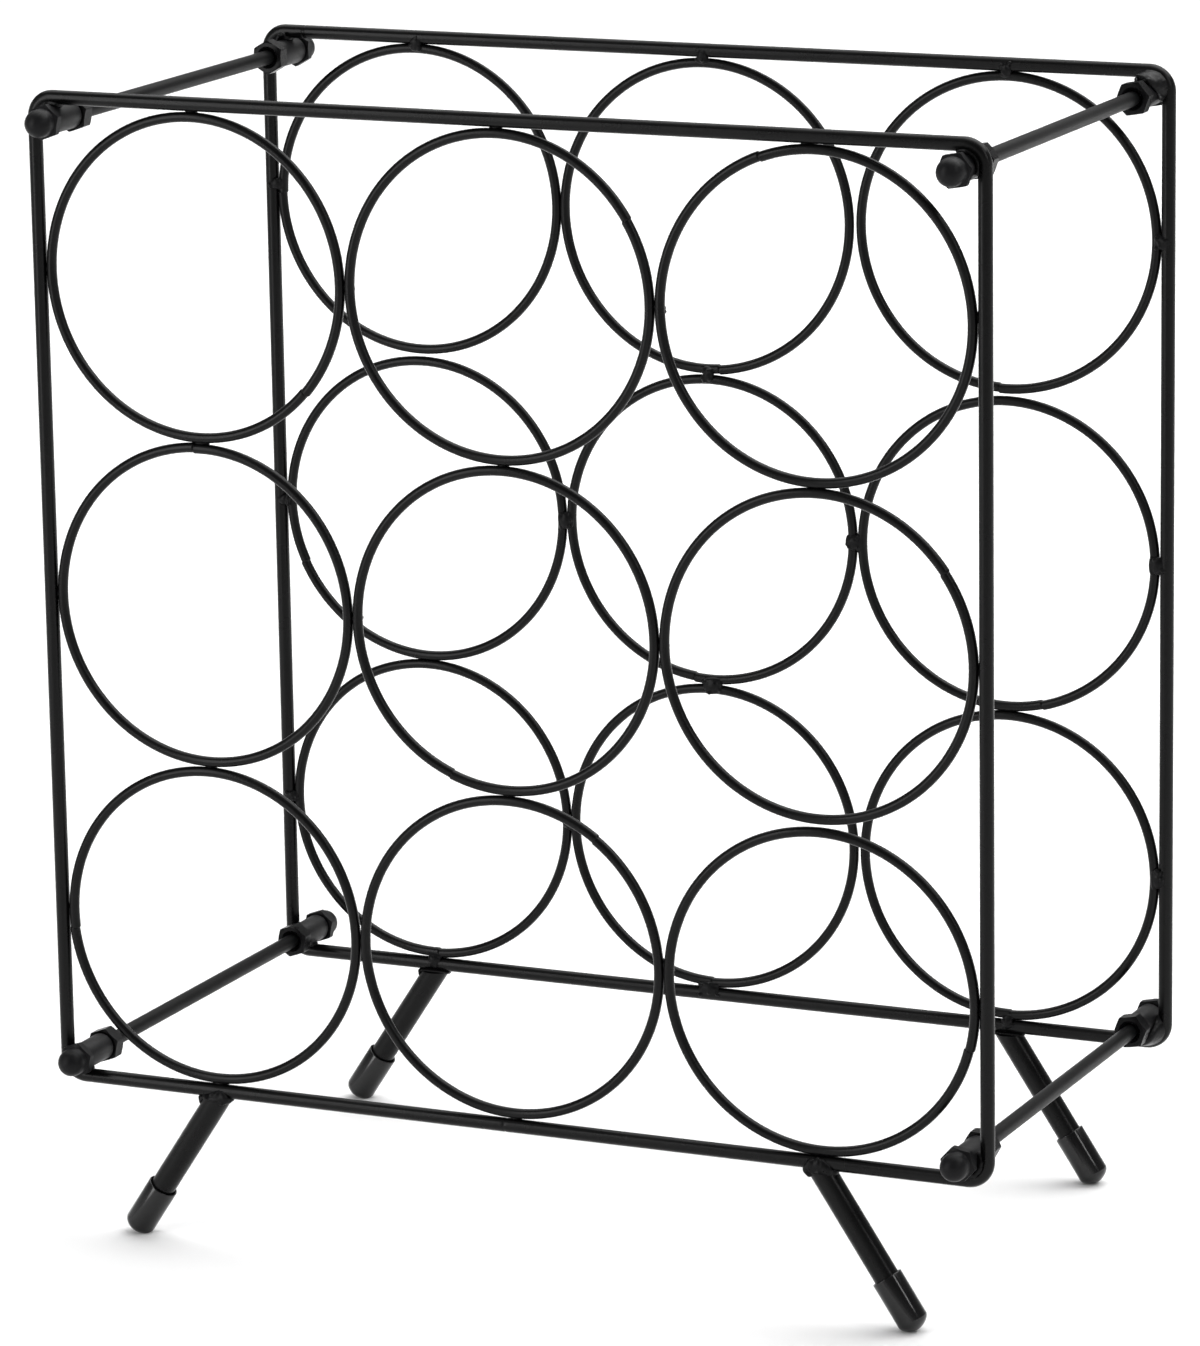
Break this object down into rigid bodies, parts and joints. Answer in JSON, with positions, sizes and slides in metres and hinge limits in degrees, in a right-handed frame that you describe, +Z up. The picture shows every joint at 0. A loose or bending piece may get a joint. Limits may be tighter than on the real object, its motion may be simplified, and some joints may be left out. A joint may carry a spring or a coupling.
{
  "type": "wine rack",
  "caption": "Countertop wire wine rack: two square panels of welded rings joined by corner tie rods with nuts, on splayed capped legs.",
  "frame": {"origin": "on the floor, under the middle of the rack", "axes": "+Z up, +X to the right seen from the front, the bottles lie along Y and the front faces -Y"},
  "size_m": [0.2996, 0.1764, 0.3447],
  "materials": {
    "powder_coat": "black satin powder coat on steel wire, rod and tube",
    "nut_black": "black plated steel nuts, slightly glossy",
    "foot_vinyl": "glossy black dip-moulded vinyl caps"
  },
  "bodies": {
    "root": {"back_cap_nut_bottom_left": "nut_black", "back_cap_nut_bottom_right": "nut_black", "back_cap_nut_top_left": "nut_black", "back_cap_nut_top_right": "nut_black", "back_collar_bottom_left": "powder_coat", "back_collar_bottom_right": "powder_coat", "back_collar_top_left": "powder_coat", "back_collar_top_right": "powder_coat", "back_foot_cap_left": "foot_vinyl", "back_foot_cap_right": "foot_vinyl", "back_frame": "powder_coat", "back_leg_left": "powder_coat", "back_leg_right": "powder_coat", "back_lock_nut_bottom_left": "nut_black", "back_lock_nut_bottom_right": "nut_black", "back_lock_nut_top_left": "nut_black", "back_lock_nut_top_right": "nut_black", "back_ring_11": "powder_coat", "back_ring_12": "powder_coat", "back_ring_13": "powder_coat", "back_ring_21": "powder_coat", "back_ring_22": "powder_coat", "back_ring_23": "powder_coat", "back_ring_31": "powder_coat", "back_ring_32": "powder_coat", "back_ring_33": "powder_coat", "front_cap_nut_bottom_left": "nut_black", "front_cap_nut_bottom_right": "nut_black", "front_cap_nut_top_left": "nut_black", "front_cap_nut_top_right": "nut_black", "front_collar_bottom_left": "powder_coat", "front_collar_bottom_right": "powder_coat", "front_collar_top_left": "powder_coat", "front_collar_top_right": "powder_coat", "front_foot_cap_left": "foot_vinyl", "front_foot_cap_right": "foot_vinyl", "front_frame": "powder_coat", "front_leg_left": "powder_coat", "front_leg_right": "powder_coat", "front_lock_nut_bottom_left": "nut_black", "front_lock_nut_bottom_right": "nut_black", "front_lock_nut_top_left": "nut_black", "front_lock_nut_top_right": "nut_black", "front_ring_11": "powder_coat", "front_ring_12": "powder_coat", "front_ring_13": "powder_coat", "front_ring_21": "powder_coat", "front_ring_22": "powder_coat", "front_ring_23": "powder_coat", "front_ring_31": "powder_coat", "front_ring_32": "powder_coat", "front_ring_33": "powder_coat", "tie_rod_bottom_left": "powder_coat", "tie_rod_bottom_right": "powder_coat", "tie_rod_top_left": "powder_coat", "tie_rod_top_right": "powder_coat"}
  },
  "joints": []
}
